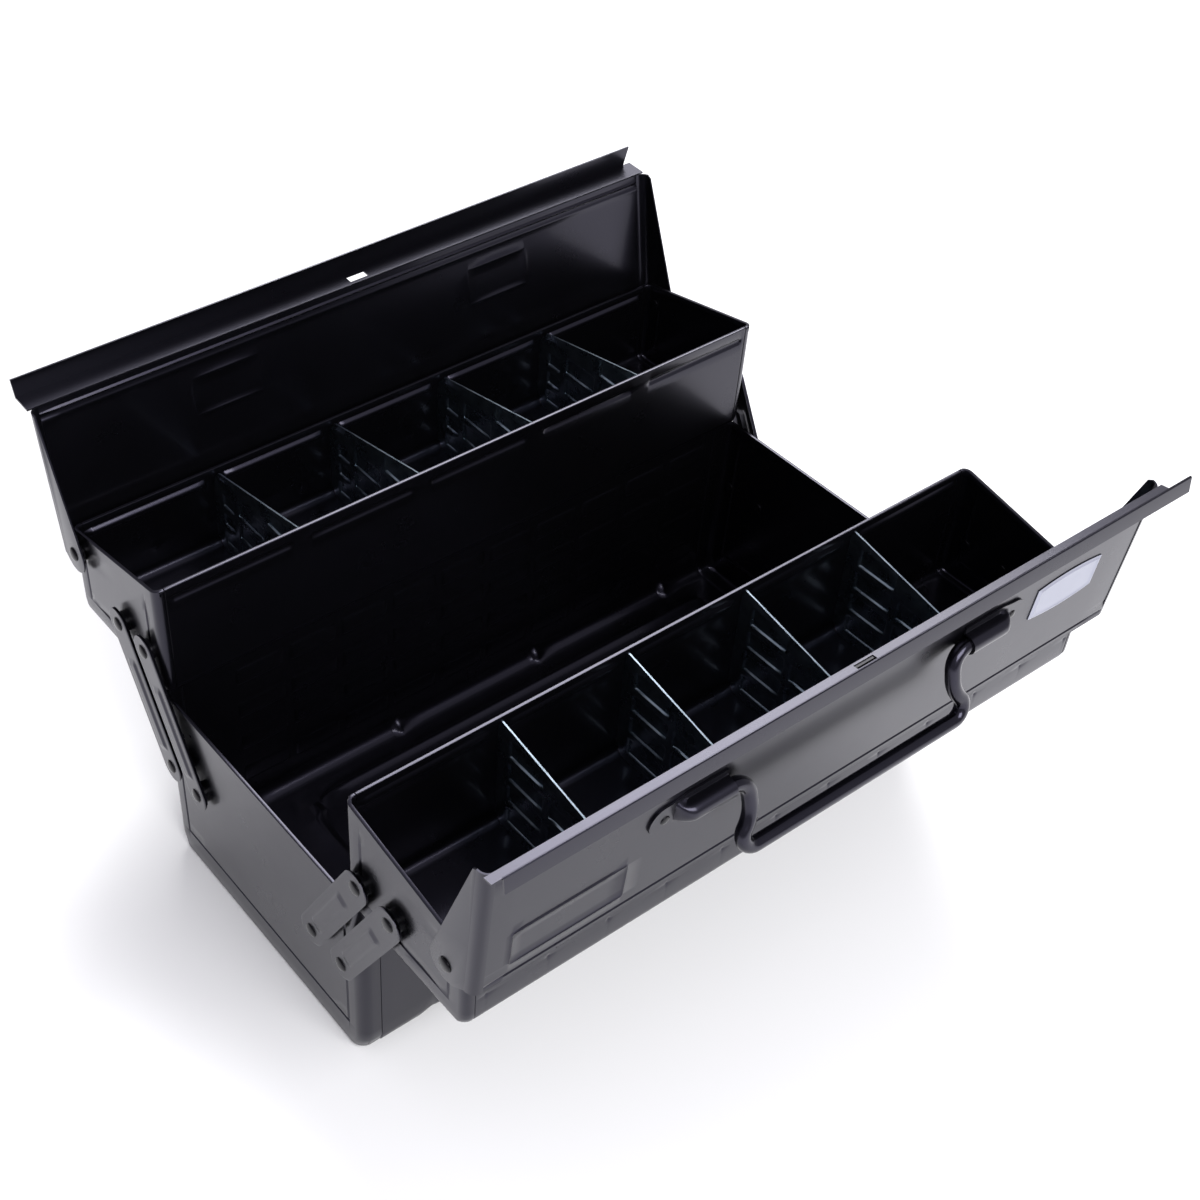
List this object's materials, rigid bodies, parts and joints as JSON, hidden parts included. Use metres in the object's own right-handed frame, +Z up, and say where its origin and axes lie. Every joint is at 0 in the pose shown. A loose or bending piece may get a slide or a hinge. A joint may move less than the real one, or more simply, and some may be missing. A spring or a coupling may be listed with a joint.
{
  "type": "toolbox with tray",
  "caption": "Two-sided cantilever steel toolbox, standing open: divided trays on swinging arms, hinged half lids and bent rod handles.",
  "frame": {"origin": "centre of the case's flat underside", "axes": "+X along the case to the right, +Y towards the rear tray, +Z up"},
  "size_m": [0.3732, 0.3561, 0.2185],
  "materials": {
    "black_enamel": "baked gloss enamel on pressed sheet steel",
    "zinc_plate": "bright zinc plating on thin sheet steel",
    "blackened_steel": "rivet heads and washers under the black enamel",
    "black_rod": "gloss black enamel on round steel rod",
    "badge_aluminium": "brushed aluminium plate"
  },
  "bodies": {
    "case": {"body_trough": "black_enamel", "body_left_end": "black_enamel", "body_right_end": "black_enamel", "body_arm_rivets": "blackened_steel", "body_spacers": "blackened_steel"},
    "rear_arms_inner": {"rear_inner_arm_left": "black_enamel", "rear_inner_arm_right": "black_enamel"},
    "rear_arms_outer": {"rear_outer_arm_left": "black_enamel", "rear_outer_arm_right": "black_enamel"},
    "front_arms_inner": {"front_inner_arm_left": "black_enamel", "front_inner_arm_right": "black_enamel"},
    "front_arms_outer": {"front_outer_arm_left": "black_enamel", "front_outer_arm_right": "black_enamel"},
    "rear_tray": {"rear_tray_trough": "black_enamel", "rear_tray_left_end": "black_enamel", "rear_tray_right_end": "black_enamel", "rear_divider_1": "zinc_plate", "rear_divider_2": "zinc_plate", "rear_divider_3": "zinc_plate", "rear_divider_4": "zinc_plate", "rear_tray_rivets": "blackened_steel", "rear_tray_spacers": "blackened_steel", "rear_hinge_rivets": "blackened_steel"},
    "front_tray": {"front_tray_trough": "black_enamel", "front_tray_left_end": "black_enamel", "front_tray_right_end": "black_enamel", "front_divider_1": "zinc_plate", "front_divider_2": "zinc_plate", "front_divider_3": "zinc_plate", "front_divider_4": "zinc_plate", "front_tray_rivets": "blackened_steel", "front_tray_spacers": "blackened_steel", "front_hinge_rivets": "blackened_steel"},
    "rear_lid": {"rear_lid": "black_enamel", "rear_clip_left": "black_enamel", "rear_clip_right": "black_enamel", "rear_clip_rivets": "blackened_steel"},
    "front_lid": {"front_lid": "black_enamel", "front_lid_edge_strip": "black_enamel", "front_clip_left": "black_enamel", "front_clip_right": "black_enamel", "front_clip_rivets": "blackened_steel", "badge_plate": "badge_aluminium"},
    "front_handle": {"front_handle": "black_rod"},
    "rear_handle": {"rear_handle": "black_rod"}
  },
  "joints": [
    {"name": "rear_swing", "type": "hinge", "parent": "case", "child": "rear_arms_inner", "pos_m": [0, 0.0476, 0.06245], "axis": [1, 0, 0], "range_deg": [0, 58]},
    {"name": "rear_outer_swing", "type": "hinge", "parent": "case", "child": "rear_arms_outer", "pos_m": [0, 0.07, 0.06245], "axis": [1, 0, 0], "range_deg": [0, 58]},
    {"name": "rear_tray_level", "type": "hinge", "parent": "rear_arms_inner", "child": "rear_tray", "pos_m": [0, 0.08299, 0.1263], "axis": [1, 0, 0], "range_deg": [-58, 0]},
    {"name": "rear_lid_hinge", "type": "hinge", "parent": "rear_tray", "child": "rear_lid", "pos_m": [0, 0.1425, 0.1418], "axis": [1, 0, 0], "range_deg": [0, 87.2]},
    {"name": "front_swing", "type": "hinge", "parent": "case", "child": "front_arms_inner", "pos_m": [0, -0.0476, 0.06245], "axis": [-1, 0, 0], "range_deg": [0, 58]},
    {"name": "front_outer_swing", "type": "hinge", "parent": "case", "child": "front_arms_outer", "pos_m": [0, -0.07, 0.06245], "axis": [-1, 0, 0], "range_deg": [0, 58]},
    {"name": "front_tray_level", "type": "hinge", "parent": "front_arms_inner", "child": "front_tray", "pos_m": [0, -0.08299, 0.1263], "axis": [-1, 0, 0], "range_deg": [-58, 0]},
    {"name": "front_lid_hinge", "type": "hinge", "parent": "front_tray", "child": "front_lid", "pos_m": [0, -0.1425, 0.1418], "axis": [-1, 0, 0], "range_deg": [0, 81.8]},
    {"name": "front_handle_swing", "type": "hinge", "parent": "front_lid", "child": "front_handle", "pos_m": [0, -0.1656, 0.18564], "axis": [-1, 0, 0], "range_deg": [0, 130]},
    {"name": "rear_handle_swing", "type": "hinge", "parent": "rear_lid", "child": "rear_handle", "pos_m": [0, 0.16697, 0.18308], "axis": [1, 0, 0], "range_deg": [0, 130]}
  ],
  "couplings": [
    {"joint": "rear_outer_swing", "follows": "rear_swing", "ratio": 1},
    {"joint": "rear_tray_level", "follows": "rear_swing", "ratio": -1},
    {"joint": "front_outer_swing", "follows": "front_swing", "ratio": 1},
    {"joint": "front_tray_level", "follows": "front_swing", "ratio": -1}
  ]
}
